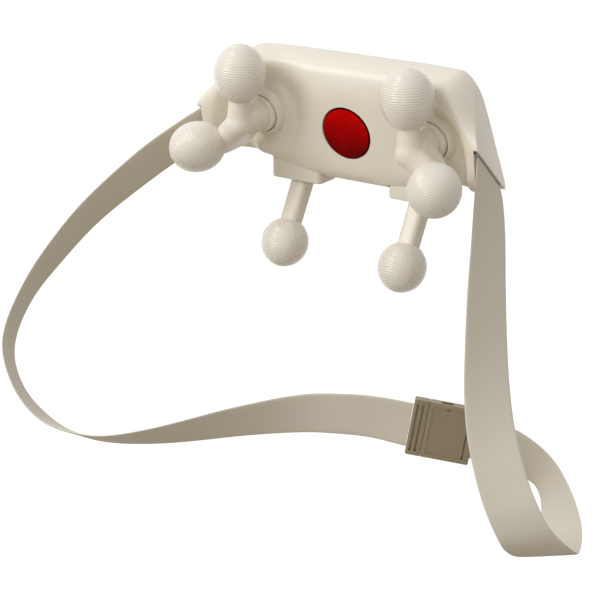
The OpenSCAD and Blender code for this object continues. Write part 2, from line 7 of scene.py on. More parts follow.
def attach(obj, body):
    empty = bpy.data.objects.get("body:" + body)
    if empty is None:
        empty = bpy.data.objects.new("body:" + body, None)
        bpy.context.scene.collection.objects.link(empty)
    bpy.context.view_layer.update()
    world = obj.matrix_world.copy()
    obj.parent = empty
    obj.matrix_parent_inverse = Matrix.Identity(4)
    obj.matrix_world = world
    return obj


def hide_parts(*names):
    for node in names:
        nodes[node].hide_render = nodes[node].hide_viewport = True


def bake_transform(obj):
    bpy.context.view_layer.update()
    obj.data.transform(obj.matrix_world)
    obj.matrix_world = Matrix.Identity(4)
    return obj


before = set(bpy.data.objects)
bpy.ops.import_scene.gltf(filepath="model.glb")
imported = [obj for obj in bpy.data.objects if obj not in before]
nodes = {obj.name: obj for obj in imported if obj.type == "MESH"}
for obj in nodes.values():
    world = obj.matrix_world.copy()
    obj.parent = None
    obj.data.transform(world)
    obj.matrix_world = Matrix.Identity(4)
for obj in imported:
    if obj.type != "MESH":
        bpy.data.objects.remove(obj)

scene = bpy.context.scene
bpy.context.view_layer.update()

# The camera stands in front of the massager, to its right and a little above it, with a
# long lens, as a product is photographed.
scene.view_settings.view_transform = "Standard"
camera = bpy.data.objects.new("camera", bpy.data.cameras.new("camera"))
camera.data.lens = 100
camera.data.sensor_width = 36
sight = Matrix(((0.8261, 0.5635, 0), (-0.1955, 0.2866, 0.9379), (0.5285, -0.7748, 0.3469)))
camera.matrix_world = Matrix.Translation((0.6741, -1.0511, 0.3253)) @ sight.transposed().to_4x4()
scene.collection.objects.link(camera)
scene.camera = camera

# The shoulder strap is flat polyester webbing, 38 mm wide and 1.8 mm thick, heat cut and
# sewn round a bar inside each end of the housing. It is drawn along its middle line; each
# row is a point on that line and the direction across the webbing, in millimetres.
left_rows = [
    ((-124.4, -8.3, -4.7), (0.3, -15, 13.2)), ((-141, -23, -19), (0, -14, 13)), ((-164, -43, -40), (1, -14, 13)),
    ((-192, -80, -75), (3, -15, 11)), ((-210, -110, -109), (5, -16, 10)),
    ((-220, -132, -137), (7, -16, 8)), ((-224, -148, -164), (8, -16, 7)),
    ((-220, -156, -186), (9, -15, 7)), ((-207, -158, -210), (10, -15, 6)),
    ((-188, -155, -228), (10, -15, 6)), ((-167, -147, -239), (10, -14, 8)),
    ((-140, -133, -244), (9, -13, 10)), ((-103, -109, -240), (7, -11, 13)),
    ((-49, -74, -227), (4, -8, 17)), ((-9, -48, -220), (2, -4, 18)),
    ((22, -31, -219), (2, -2, 19)), ((43, -19, -221), (2, -1, 19)), ((66.4, -6, -226.2), (2.6, 1.4, 19))]
right_rows = [
    ((108.7, 17, -233.8), (2.6, 1.4, 19)), ((123, 26, -239), (3, -1, 18)), ((140, 38, -248), (4, -3, 18)),
    ((159, 47, -263), (8, -5, 16)), ((174, 42, -281), (13, -3, 13)), ((188, 22, -297), (17, 2, 7)),
    ((197, -10, -300), (17, 9, 2)), ((191, -34, -282), (16, 12, 4)), ((181, -42, -260), (15, 13, 6)),
    ((168, -41, -234), (13, 14, 6)), ((154, -35, -201), (11, 15, 5)), ((145, -28, -169), (10, 16, 3)),
    ((139, -21, -135), (8, 17, 2)), ((134, -14, -97), (6, 18, 2)), ((130, -7, -60), (4, 19, 1)),
    ((127, -3, -32), (2, 19, -4)), ((125.1, -1.2, -10.5), (0.3, 19, -16.8))]
webbing_width, webbing_thickness = 38, 1.8


def shade(red, green, blue):
    """A colour as a swatch card gives it, turned into the renderer's linear values."""
    return tuple(((c + 0.055) / 1.055) ** 2.4 if c > 0.04 else c / 12.92
                 for c in (red, green, blue)) + (1,)


def finish_group(name, inputs, outputs):
    """An empty shader group with named sockets, and its first and last node."""
    tree = bpy.data.node_groups.new(name, "ShaderNodeTree")
    for socket, kind in inputs:
        tree.interface.new_socket(socket, in_out="INPUT", socket_type="NodeSocket" + kind)
    for socket, kind in outputs:
        tree.interface.new_socket(socket, in_out="OUTPUT", socket_type="NodeSocket" + kind)
    return tree, tree.nodes.new("NodeGroupInput"), tree.nodes.new("NodeGroupOutput")


def add(tree, kind, links=(), **settings):
    """A node with its settings; links gives sockets or plain values for its inputs."""
    node = tree.nodes.new("ShaderNode" + kind)
    for key, value in settings.items():
        setattr(node, key, value)
    for socket, value in dict(links).items():
        if isinstance(value, bpy.types.NodeSocket):
            tree.links.new(value, node.inputs[socket])
        else:
            node.inputs[socket].default_value = value
    return node


def calc(tree, operation, *terms):
    return add(tree, "Math", dict(enumerate(terms)), operation=operation).outputs[0]


def colour_mix(tree, share, first, second):
    node = add(tree, "Mix", {0: share, 6: first, 7: second}, data_type="RGBA")
    return node.outputs[2]


def finish(name, group, values, **shader):
    """A material: one group feeds the shader, whose plain numbers stay on its own sockets."""
    material = bpy.data.materials.new(name)
    material.use_nodes = True
    tree = material.node_tree
    body = tree.nodes["Principled BSDF"]
    for socket, value in shader.items():
        body.inputs[socket.replace("_", " ")].default_value = value
    if group:
        skin = add(tree, "Group", node_tree=group)
        for socket, value in values.items():
            skin.inputs[socket].default_value = value
        for socket, target in (("Colour", "Base Color"), ("Roughness", "Roughness"),
                               ("Normal", "Normal")):
            if socket in skin.outputs:
                tree.links.new(skin.outputs[socket], body.inputs[target])
    return material


# Woven webbing: ribs across the strap, split into warp ends that lie a step apart, with a
# closer selvedge along both edges. It reads the strap's own measure, along and across.
weave, put, get = finish_group(
    "weave", (("Yarn", "Color"), ("Shadow", "Color")),
    (("Colour", "Color"), ("Roughness", "Float"), ("Normal", "Vector")))
measure = add(weave, "Attribute", attribute_name="measure")
lie = add(weave, "SeparateXYZ", {0: measure.outputs["Vector"]})
warp = calc(weave, "DIVIDE", lie.outputs["Y"], 0.0013)
parity = calc(weave, "MULTIPLY", calc(weave, "FLOOR", warp), pi)
weft = calc(weave, "ADD", calc(weave, "MULTIPLY", lie.outputs["X"], 2 * pi / 0.0021), parity)
rib = calc(weave, "MULTIPLY_ADD", calc(weave, "SINE", weft), 0.5, 0.5)
end = calc(weave, "ABSOLUTE", calc(weave, "SINE", calc(weave, "MULTIPLY", warp, pi)))
crossing = calc(weave, "MULTIPLY", rib, calc(weave, "POWER", end, 0.6))
edge = add(weave, "MapRange", {"Value": calc(weave, "ABSOLUTE", lie.outputs["Y"]),
                               "From Min": 0.0166, "From Max": 0.0172})
height = calc(weave, "SUBTRACT", crossing, calc(weave, "MULTIPLY", edge.outputs[0], 0.35))
lengthwise = add(weave, "VectorMath", {0: measure.outputs["Vector"], 1: (60, 900, 1)},
                 operation="MULTIPLY")
fibre = add(weave, "TexNoise", {"Vector": lengthwise.outputs[0], "Scale": 1, "Detail": 4})
fade = add(weave, "TexNoise", {"Vector": measure.outputs["Vector"], "Scale": 22, "Detail": 3})
depth = calc(weave, "MULTIPLY_ADD", crossing, 0.45, 0.35)
depth = calc(weave, "MULTIPLY_ADD", fibre.outputs[0], 0.35, depth)
depth = calc(weave, "MULTIPLY_ADD", fade.outputs[0], 0.25, calc(weave, "SUBTRACT", depth, 0.1))
weave.links.new(colour_mix(weave, depth, put.outputs["Shadow"], put.outputs["Yarn"]),
                get.inputs["Colour"])
weave.links.new(calc(weave, "MULTIPLY_ADD", fibre.outputs[0], 0.2, 0.62), get.inputs["Roughness"])
raised = add(weave, "Bump", {"Height": height, "Strength": 0.14, "Distance": 0.0003})
weave.links.new(raised.outputs[0], get.inputs["Normal"])
webbing = finish("webbing", weave, {"Yarn": shade(0.945, 0.93, 0.88), "Shadow": shade(0.90, 0.875, 0.82)},
                 Sheen_Weight=0.25, Sheen_Roughness=0.5, Specular_IOR_Level=0.3)


def new_ring(bm, count):
    return bmesh.ops.create_circle(bm, cap_ends=False, segments=count, radius=1)["verts"]


def draw_on(bm, ring, points):
    """Extrudes a closed ring of vertices by one step, onto these points."""
    edges = [bm.edges.get((ring[i - 1], ring[i])) for i in range(len(ring))]
    fresh = set(bmesh.ops.extrude_edge_only(bm, edges=edges)["geom"])
    ring = [next(e.other_vert(v) for e in v.link_edges if e.other_vert(v) in fresh) for v in ring]
    for vertex, point in zip(ring, points):
        vertex.co = point
    return ring


def make(name, bm, material, body, slot, *stands_for, sharp=32, unit=0.001):
    """Turns a closed form drawn in millimetres into a finished piece that rides on a body."""
    bmesh.ops.recalc_face_normals(bm, faces=bm.faces)
    bmesh.ops.scale(bm, vec=(unit, unit, unit), verts=bm.verts)
    mesh = bpy.data.meshes.new(name)
    bm.to_mesh(mesh)
    bm.free()
    mesh.materials.append(material)
    mesh.shade_smooth()
    mesh.set_sharp_from_angle(angle=radians(sharp))
    piece = bpy.data.objects.new(name, mesh)
    scene.collection.objects.link(piece)
    if body:
        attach(piece, body)
    if stands_for:
        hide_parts(*stands_for)
    return piece


def on_curve(rows, place, column):
    """A smooth curve through one column of the rows, at a place counted in rows."""
    i = min(int(place), len(rows) - 2)
    t = place - i
    a, b, c, d = (Vector(rows[min(len(rows) - 1, max(0, i + k))][column]) for k in (-1, 0, 1, 2))
    return 0.5 * (2 * b + (c - a) * t + (2 * a - 5 * b + 4 * c - d) * t * t
                  + (3 * b - 3 * c + d - a) * t * t * t)


def power(value, exponent):
    return copysign(abs(value) ** exponent, value)


def strap(name, rows, body, steps=8, sides=24):
    count = (len(rows) - 1) * steps
    middle = [on_curve(rows, k / steps, 0) for k in range(count + 1)]
    bm = bmesh.new()
    measured = bm.verts.layers.float_vector.new("measure")
    ring = new_ring(bm, sides)
    turns = [2 * pi * i / sides for i in range(sides)]
    run = 0
    for k, point in enumerate(middle):
        ahead = middle[min(k + 1, count)] - middle[max(k - 1, 0)]
        across = on_curve(rows, k / steps, 1).normalized()
        face = ahead.cross(across)
        across *= ahead.length / face.length
        face.normalize()
        spots = [(power(cos(a), 0.4) * webbing_width / 2, power(sin(a), 0.55) * webbing_thickness / 2)
                 for a in turns]
        points = [point + across * u + face * v for u, v in spots]
        if k:
            run += (point - middle[k - 1]).length
            ring = draw_on(bm, ring, points)
        else:
            for vertex, place in zip(ring, points):
                vertex.co = place
            bmesh.ops.contextual_create(bm, geom=ring)
        for vertex, (u, v) in zip(ring, spots):
            vertex[measured] = (run / 1000, u / 1000, v / 1000)
    bmesh.ops.contextual_create(bm, geom=ring)
    piece = make(name + "_webbing", bm, webbing, body, "webbing", name, sharp=50)
    return piece, [tuple(p / 1000) for p in middle], run / 1000


left_strap, left_line, left_length = strap("left_strap", left_rows, None)
right_strap, right_line, right_length = strap("right_strap", right_rows, "housing")
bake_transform(left_strap)

# The side-release buckle joins the straps. Plug and socket are injection moulded in a glossy
# cream acetal; the webbing is threaded through the slots of both halves. The acetal's colour
# is darkened to a brownish tone, a painted shade.
skin, put, get = finish_group(
    "moulded_skin", (("Colour", "Color"), ("Second colour", "Color"), ("Gloss", "Float"),
                     ("Grain", "Float"), ("Depth", "Float")),
    (("Colour", "Color"), ("Roughness", "Float"), ("Normal", "Vector")))
where = add(skin, "TexCoord")
cloud = add(skin, "TexNoise", {"Vector": where.outputs["Object"], "Scale": 14, "Detail": 5,
                               "Roughness": 0.6})
spread = add(skin, "MapRange", {"Value": cloud.outputs[0], "From Min": 0.32, "From Max": 0.68})
skin.links.new(colour_mix(skin, spread.outputs[0], put.outputs["Colour"],
                          put.outputs["Second colour"]), get.inputs["Colour"])
texture = add(skin, "TexNoise", {"Vector": where.outputs["Object"], "Scale": put.outputs["Grain"],
                                 "Detail": 3})
flow = add(skin, "TexNoise", {"Vector": where.outputs["Object"], "Scale": 130, "Detail": 2})
mixed = calc(skin, "MULTIPLY_ADD", flow.outputs[0], 0.6, texture.outputs[0])
relief = add(skin, "Bump", {"Height": mixed, "Strength": put.outputs["Depth"], "Distance": 0.0001})
skin.links.new(relief.outputs[0], get.inputs["Normal"])
handled = calc(skin, "MULTIPLY_ADD", calc(skin, "SUBTRACT", cloud.outputs[0], 0.5), 0.22,
               put.outputs["Gloss"])
handled = calc(skin, "MULTIPLY_ADD", calc(skin, "SUBTRACT", texture.outputs[0], 0.5), 0.12, handled)
skin.links.new(handled, get.inputs["Roughness"])
# Painted shade: the cream acetal's colour is darkened to a brownish tone.
shaded_acetal = finish("cream_acetal", skin,
                {"Colour": shade(0.60, 0.54, 0.40), "Second colour": shade(0.56, 0.50, 0.36),
                 "Gloss": 0.24, "Grain": 1500, "Depth": 0.12}, Coat_Weight=0.25, Coat_Roughness=0.15)


def brick(low, high, place=Matrix(), bm=None):
    """A block between two corners."""
    bm = bm or bmesh.new()
    low, high = Vector(low), Vector(high)
    spot = Matrix.Translation((low + high) / 2) @ Matrix.Diagonal((*(high - low), 1))
    bmesh.ops.create_cube(bm, size=1, matrix=place @ spot)
    return bm


def rod(low, high, radius, place, bm=None, sides=64, top=None):
    """A cylinder along the place's own Z, from low to high."""
    bm = bm or bmesh.new()
    bmesh.ops.create_cone(bm, cap_ends=True, segments=sides, radius1=radius,
                          radius2=radius if top is None else top, depth=high - low,
                          matrix=place @ Matrix.Translation((0, 0, (low + high) / 2)))
    return bm


def ease_edges(bm, offset, segments=3, where=lambda edge: True):
    """Rounds the sharp edges that a test picks, as a mould's radii do."""
    edges = [e for e in bm.edges if e.is_manifold and e.calc_face_angle(0) > 0.6 and where(e)]
    bmesh.ops.bevel(bm, geom=edges, offset=offset, segments=segments, profile=0.5,
                    affect="EDGES", material=-1, clamp_overlap=True)
    return bm


def as_object(bm):
    bmesh.ops.recalc_face_normals(bm, faces=bm.faces)
    mesh = bpy.data.meshes.new("tool")
    bm.to_mesh(mesh)
    bm.free()
    tool = bpy.data.objects.new("tool", mesh)
    scene.collection.objects.link(tool)
    return tool


def worked(block, *tools):
    """What the block's modifiers leave of it, as a new bmesh. The tools go."""
    bpy.context.view_layer.update()
    seen = block.evaluated_get(bpy.context.evaluated_depsgraph_get())
    mesh = bpy.data.meshes.new_from_object(seen)
    bm = bmesh.new()
    bm.from_mesh(mesh)
    bpy.data.meshes.remove(mesh)
    for tool in (block, *tools):
        bpy.data.meshes.remove(tool.data)
    return bm


def carve(bm, *cutters, operation="DIFFERENCE", solver="MANIFOLD"):
    """Cuts each cutter out of a form, joins it on, or keeps what they share."""
    block = as_object(bm)
    tools = [as_object(cutter) for cutter in cutters]
    for tool in tools:
        step = block.modifiers.new("cut", "BOOLEAN")
        step.operation = operation
        step.solver = solver
        step.object = tool
    return worked(block, *tools)


at_buckle = (Matrix.Translation((87.5, 5.5, -230)) @ Matrix.Rotation(radians(28.5), 4, "Z")
             @ Matrix.Rotation(radians(9), 4, "Y"))
plug = ease_edges(brick((-24, -3.5, -24), (-12.2, 3.5, 24)), 1.4, 4,
                  lambda e: max(v.co.x for v in e.verts) < -13)
plug = ease_edges(plug, 0.4, 2, lambda e: min(v.co.x for v in e.verts) > -13)
slots = bmesh.new()
for x, y in ((-21.6, -5.9), (-21.6, 0.9), (-17.4, -5.9), (-17.4, 0.9)):
    brick((x, y, -20.5), (x + 1.5, y + 5, 20.5), bm=slots)
plug = carve(plug, ease_edges(slots, 0.6, 3, lambda e: abs(e.verts[0].co.y - e.verts[1].co.y) > 5))
tongue = ease_edges(brick((-13, -1.5, -15), (10, 1.5, 15)), 0.7, 2)
plug = carve(plug, tongue, operation="UNION")
for side in (-1, 1):
    arm = ease_edges(brick((-13, -1.45, side * 18 - 1.5), (8, 1.45, side * 18 + 1.5)), 0.6, 2)
    plug = carve(plug, arm, operation="UNION")
bmesh.ops.transform(plug, matrix=at_buckle, verts=plug.verts)
buckle_plug = make("plug_half", plug, shaded_acetal, "buckle_plug", "buckle_plastic", "buckle_plug")

socket = ease_edges(brick((-12, -3.5, -24), (27, 3.5, 24)), 1.4, 4,
                    lambda e: min(v.co.x for v in e.verts) > -11)
socket = ease_edges(socket, 0.4, 2, lambda e: max(v.co.x for v in e.verts) < -11)
mouth = brick((-13, -1.8, -20), (12, 1.8, 20))
panels = bmesh.new()
for side in (-1, 1):
    brick((-8.6, min(side * 3, side * 5), -20.6), (17.4, max(side * 3, side * 5), 20.2), bm=panels)
panels = ease_edges(panels, 1.2, 3, lambda e: abs(e.verts[0].co.y - e.verts[1].co.y) > 1)
windows = bmesh.new()
for side in (-1, 1):
    brick((-2.5, -1.8, side * 22 - 3), (6.5, 1.8, side * 22 + 3), bm=windows)
thread = bmesh.new()
for y in (-5.9, 0.9):
    brick((20.4, y, -20.5), (21.9, y + 5, 20.5), bm=thread)
thread = ease_edges(thread, 0.6, 3, lambda e: abs(e.verts[0].co.y - e.verts[1].co.y) > 4)
notch = brick((2.2, -5, 18.6), (5.2, -2.2, 20.9))
socket = carve(socket, mouth, panels, windows, thread, notch)
bmesh.ops.transform(socket, matrix=at_buckle, verts=socket.verts)
buckle_socket = make("socket_half", socket, shaded_acetal, "housing", "buckle_plastic", "buckle_socket")

# The housing is two ABS covers with a 2.5 mm wall: a nose round the window, a hollow round
# each kneading head, and two wings that reach forward over the shoulders. Its sections are
# lofted from side to side in a frame that leans 12 degrees towards the neck.
lean = Matrix.Rotation(radians(12), 4, "X")
body_top, body_bottom, body_depth, wing_reach = 54, 45, 44, 21
wall, parting_y, mid_z = 2.5, 30, 6
head_x, head_z, seat_y, seat_r = 77, 8, 1.9, 20
mirror = Matrix.Diagonal((-1, 1, 1, 1))
abs_cream = finish("cream_abs", skin,
                   {"Colour": shade(0.962, 0.942, 0.892), "Second colour": shade(0.952, 0.928, 0.872),
                    "Gloss": 0.34, "Grain": 2200, "Depth": 0.10}, Subsurface_Weight=0.04,
                   Subsurface_Radius=(0.004, 0.002, 0.001), Subsurface_Scale=0.3)


def ease(low, high, value):
    t = min(1, max(0, (value - low) / (high - low)))
    return t * t * (3 - 2 * t)


def bowl(x, z, cx, cz, rx, rz):
    return 1 - ease(0.35, 1, hypot((abs(x) - cx) / rx, (z - cz) / rz))


def even_turns(count):
    """Angles that space the points of a section evenly along its outline."""
    fine = [2 * pi * i / 8000 for i in range(8001)]
    outline = [(22 * power(cos(a), 0.6 if sin(a) > 0 else 0.33),
                50 * power(sin(a), 0.6 if sin(a) > 0 else 0.33)) for a in fine]
    runs = [0]
    for (y0, z0), (y1, z1) in zip(outline, outline[1:]):
        runs.append(runs[-1] + hypot(y1 - y0, z1 - z0))
    picked, j = [], 0
    for i in range(count):
        while runs[j] < runs[-1] * (i + 0.5) / count:
            j += 1
        picked.append(fine[j])
    return picked


def housing_section(x, inset, turns):
    y0 = -wing_reach * ease(50, 127, abs(x)) + inset
    y1 = body_depth - 24 * ease(85, 132, abs(x)) - inset
    points = []
    for a in turns:
        e = 0.6 if sin(a) > 0 else 0.33
        ey, ez = power(cos(a), e), power(sin(a), e)
        if ez > 0:
            z = mid_z + ez * (body_top - 31 * ease(88, 129, abs(x)) - inset - mid_z)
        else:
            share = (ey + 1) / 2
            low = (-body_bottom + (1 - share) * 24 * ease(30, 110, abs(x))
                   + share * 10 * ease(92, 130, abs(x)) + inset)
            z = mid_z + ez * (mid_z - low)
        y = (y0 + y1) / 2 + ey * (y1 - y0) / 2
        if ey < 0:
            f = ey * ey
            y += f * (6 * bowl(x, z, 76, 14, 54, 50) + 11 * bowl(x, z, 99, -12, 19, 46))
            y += (inset - y) * (1 - ease(26, 46, hypot(x, z))) * f
            seat = 1 - ease(seat_r, seat_r + 11, hypot(abs(x) - head_x, z - head_z))
            y += (seat_y + inset - y) * seat * f
        points.append((x, y, z))
    return points


def housing_loft(inset, reach, spacing, around):
    bm = bmesh.new()
    turns = even_turns(around)
    count = round(2 * reach / spacing)
    ring = new_ring(bm, around)
    for k in range(count + 1):
        points = [lean @ Vector(p) for p in housing_section(-reach + k * 2 * reach / count, inset, turns)]
        if k:
            ring = draw_on(bm, ring, points)
        else:
            for vertex, point in zip(ring, points):
                vertex.co = point
            bmesh.ops.contextual_create(bm, geom=ring)
    bmesh.ops.contextual_create(bm, geom=ring)
    return bm


def sliced(bm, point, normal, rim=0, segments=3):
    """Cuts off what lies beyond a plane, closes the cut and rounds its rim."""
    cut = bmesh.ops.bisect_plane(bm, geom=bm.verts[:] + bm.edges[:] + bm.faces[:], dist=1e-5,
                                 plane_co=point, plane_no=normal, clear_outer=True)["geom_cut"]
    edges = [e for e in cut if isinstance(e, bmesh.types.BMEdge)]
    bmesh.ops.holes_fill(bm, edges=edges, sides=0)
    if rim:
        edges = [e for e in edges if e.is_valid]
        bmesh.ops.bevel(bm, geom=edges, offset=rim, segments=segments, profile=0.5,
                        affect="EDGES", material=-1, clamp_overlap=True)
    return bm


# Each flank is cut flat where the strap leaves it, with an oblique slit along its foot and
# a relief in front of the slit, so that the webbing hangs free of the wing.
at_slit = (Matrix.Translation((127.5, 0.5, -10)) @ Matrix.Rotation(radians(16.4), 4, "Z")
           @ Matrix.Rotation(radians(-18.7), 4, "Y") @ Matrix.Rotation(radians(-44.3), 4, "X"))
outside = housing_loft(0, 134, 2, 112)
for side in (Matrix(), mirror):
    turned_slit = side @ at_slit
    outside = sliced(outside, turned_slit.translation, turned_slit.to_3x3() @ Vector((1, 0, 0)), 1.0)
reliefs, slits = bmesh.new(), bmesh.new()
for side in (Matrix(), mirror):
    flat = [side @ Vector(p) for p in ((123.2, -70, 53), (123.2, 71, -73), (123.2, -70, -73))]
    corner = [reliefs.verts.new(p) for p in flat]
    face = reliefs.faces.new(corner)
    grown = bmesh.ops.extrude_face_region(reliefs, geom=[face])["geom"]
    bmesh.ops.translate(reliefs, vec=side.to_3x3() @ Vector((40, 0, 0)),
                        verts=[v for v in grown if isinstance(v, bmesh.types.BMVert)])
    brick((-4.15, -30, -4), (-1.85, 25.4, 12), side @ at_slit, slits)
outside = carve(outside, reliefs, slits)

lid_screws = [(43, -22), (43, 16)]
gear_screws = [(60, 24.5), (94, 24.5), (60, -22.5), (94, -22.5)]
mount_screws = [(29, -22), (29, 0)]
block_low, block_high = (31, 11, -49), (79, 37, -30)
flange_low, flange_high = (28.5, 13, -29.5), (81.5, 36, -28)


def along_y(x, z):
    """Turns a rod's own Z to the leaned frame's Y, at a place seen from the front."""
    return lean @ Matrix.Translation((x, 0, z)) @ Matrix.Rotation(radians(-90), 4, "X")


def rods_y(places, low, high, radius, bm=None, sides=48):
    bm = bm or bmesh.new()
    for x, z in places:
        for side in (Matrix(), mirror):
            rod(low, high, radius, side @ along_y(x, z), bm, sides)
    return bm


def turned(profile, place=Matrix(), steps=96, bm=None, closed=False):
    """Spins a profile of (radius, height) points round the place's own Z."""
    bm = bm or bmesh.new()
    before = set(bm.verts)
    line = [bm.verts.new((r, 0, z)) for r, z in profile]
    edges = [bm.edges.new(pair) for pair in zip(line, line[1:])]
    if closed:
        edges.append(bm.edges.new((line[-1], line[0])))
    bmesh.ops.spin(bm, geom=line + edges, cent=(0, 0, 0), axis=(0, 0, 1), angle=2 * pi,
                   steps=steps, use_merge=True)
    fresh = [v for v in bm.verts if v not in before]
    bmesh.ops.remove_doubles(bm, verts=fresh, dist=1e-4)
    fresh = [v for v in bm.verts if v not in before]
    bmesh.ops.transform(bm, matrix=place, verts=fresh)
    return bm


hollow = housing_loft(wall, 98, 3.5, 80)
bosses = rods_y(lid_screws, -30, parting_y, 4)
rods_y(gear_screws, -30, 13, 3.5, bosses)
rods_y(mount_screws, -30, 8.5, 3.4, bosses)
rods_y(lid_screws, parting_y, body_depth + 4, 4, bosses)
rods_y([(33, -28)], 37.1, body_depth + 4, 3, bosses)
openings = bmesh.new()
for side in (Matrix(), mirror):
    brick(Vector(block_low) - Vector((0.1, 0.1, 10)), Vector(block_high) + Vector((0.1, 0.1, 0.6)),
          side, openings)
flanges = bmesh.new()
for side in (Matrix(), mirror):
    brick(Vector(flange_low) - Vector((0.1, 0.1, 0)), Vector(flange_high) + Vector((0.1, 0.1, 0.1)),
          side, flanges)
shell = carve(outside, carve(hollow, bosses), openings, flanges)
front = shell.copy()
rear = shell
sliced(front, lean @ Vector((0, parting_y - 0.08, 0)), lean.to_3x3() @ Vector((0, 1, 0)))
sliced(rear, lean @ Vector((0, parting_y + 0.08, 0)), lean.to_3x3() @ Vector((0, -1, 0)))
window_hole = turned([(0, -3), (24.2, -3), (23, -1.2), (22.1, 0.05), (21.65, 0.6), (21.5, 1.2), (21.5, 6),
                      (0, 6)], along_y(0, 0))
head_holes = rods_y([(head_x, head_z)], -12, 8, 16.5, sides=96)
pilots = rods_y(lid_screws, 14, parting_y + 1, 1.5)
rods_y(gear_screws, 7, 14, 1.5, pilots)
rods_y(mount_screws, 4, 10, 1.25, pilots)
front = carve(front, window_hole, head_holes, pilots)
front_cover = make("front_shell", front, abs_cream, "housing", "body_plastic", "front_cover", sharp=28)

# The back cover closes the shell with four screws, and carries the buttons, the status
# lights and the charging port in its flat middle.
button_x, button_z, lights_z, port_y = 24, 8, 23, 38.7
rear_holes = rods_y(lid_screws, parting_y - 1, body_depth + 4, 1.7)
head_recesses = rods_y(lid_screws, 36, body_depth + 4, 3.2)
button_holes = bmesh.new()
for x, radius in ((-button_x, 6.2), (0, 7.2), (button_x, 6.2)):
    turned([(0, 35), (radius, 35), (radius, 43.1), (radius + 0.25, 43.7), (radius + 0.9, 44.2),
            (radius + 0.9, 47), (0, 47)], along_y(x, button_z), 80, button_holes)
light_holes = bmesh.new()
for x in (-6, 0, 6):
    rod(35, body_depth + 4, 1.05, along_y(x, lights_z), light_holes, 32)
port_mouth = ease_edges(brick((-4.75, port_y - 1.85, -50), (4.75, port_y + 1.85, -32), lean), 1.84, 6,
                        lambda e: abs((lean.inverted() @ e.verts[0].co
                                       - lean.inverted() @ e.verts[1].co).z) > 5)
rear = carve(rear, rear_holes, head_recesses, button_holes, light_holes, port_mouth)
rear = carve(rear, rods_y([(33, -28)], 35, 42, 1.2), operation="UNION")
back_shell = make("back_shell", rear, abs_cream, "housing", "body_plastic", "back_cover", sharp=28)

# The heat window is a deep red polycarbonate disc, hardly domed, with fine prisms moulded
# into it that spread the light of the board behind it. Light and shade are painted into its
# colour: lighter facets as painted glints, a red that is lighter at the top and darker at the
# bottom, and a painted shadow in a dark ring round its rim.
prisms, put, get = finish_group(
    "prism_window", (("Bright", "Color"), ("Shaded red", "Color")),
    (("Colour", "Color"), ("Roughness", "Float"), ("Normal", "Vector")))
where = add(prisms, "TexCoord")
spot = add(prisms, "SeparateXYZ", {0: where.outputs["Object"]})
rows = calc(prisms, "PINGPONG", spot.outputs["Z"], 0.0009)
columns = calc(prisms, "PINGPONG", calc(prisms, "ADD", spot.outputs["X"],
                                        calc(prisms, "MULTIPLY", spot.outputs["Z"], 0.5)), 0.0009)
facet = calc(prisms, "MULTIPLY", calc(prisms, "ADD", rows, columns), 550)
# Painted light: the red grows lighter from the bottom of the window to its top.
painted_top_light = add(prisms, "MapRange", {"Value": spot.outputs["Z"], "From Min": -0.016, "From Max": 0.019})
patch = add(prisms, "TexNoise", {"Vector": where.outputs["Object"], "Scale": 90, "Detail": 3})
# The facets paint glints into the colour; the noise patch adds random tone.
light = calc(prisms, "MULTIPLY_ADD", facet, 0.5, calc(prisms, "SUBTRACT", painted_top_light.outputs[0], 0.28))
light = calc(prisms, "MULTIPLY_ADD", patch.outputs[0], 0.5, calc(prisms, "SUBTRACT", light, 0.27))
across = calc(prisms, "POWER", spot.outputs["X"], 2)
upward = calc(prisms, "POWER", calc(prisms, "DIVIDE", spot.outputs["Z"], cos(radians(12))), 2)
radius = calc(prisms, "SQRT", calc(prisms, "ADD", across, upward))
# Painted shadow: a near-black ring round the rim, where the window meets the housing.
rim = add(prisms, "MapRange", {"Value": radius, "From Min": 0.0199, "From Max": 0.0207})
glass = colour_mix(prisms, light, put.outputs["Shaded red"], put.outputs["Bright"])
prisms.links.new(colour_mix(prisms, rim.outputs[0], glass, (0.035, 0, 0, 1)), get.inputs["Colour"])
prisms.links.new(calc(prisms, "MULTIPLY_ADD", facet, 0.12, 0.16), get.inputs["Roughness"])
ridge = add(prisms, "Bump", {"Height": facet, "Strength": 0.25, "Distance": 0.0004})
prisms.links.new(ridge.outputs[0], get.inputs["Normal"])
red_window = finish("red_window", prisms, {"Bright": shade(0.86, 0.0, 0.005), "Shaded red": shade(0.44, 0.0, 0.0)},
                    Specular_IOR_Level=0.02, IOR=1.58)
lens = [(0, -0.3)] + [(r, -0.3 * (1 - (r / 21) ** 2)) for r in (4, 8, 12, 15, 18, 20)]
lens += [(20.7, 0.05), (21.05, 0.2), (21.2, 0.5), (21.2, 2.6), (23.6, 2.6), (23.6, 3.7), (0, 3.7)]
window_disc = make("window_disc", turned(lens, along_y(0, 0), 128), red_window, "housing",
                   "window_red", "heat_window")

# Each head turns in a collar, a moulded ring that snaps into the front cover, with a turned
# lip that keeps fabric out of the gap round the hub.
at_pivot = lean @ Matrix.Translation((head_x, -3.5, head_z)) @ Matrix.Rotation(radians(90), 4, "X")
at_journal = at_pivot @ Matrix.Rotation(radians(-5), 4, "X")
lip = [(15.6, 0.2), (15.7, 0.6), (16.0, 0.9), (16.4, 1.0), (16.9, 0.8), (17.6, 0.1), (18.4, -1.1),
       (19.1, -2.6), (19.6, -3.8), (19.95, -4.7), (20, -5.4), (16.4, -5.4), (16.4, -9.2), (15.9, -9.2),
       (15.9, -2), (15.6, -0.7)]
for name, side in (("left", mirror), ("right", Matrix())):
    make(name + "_collar_ring", turned(lip, side @ at_pivot, 128, closed=True), abs_cream, "housing",
         "body_plastic", name + "_collar")

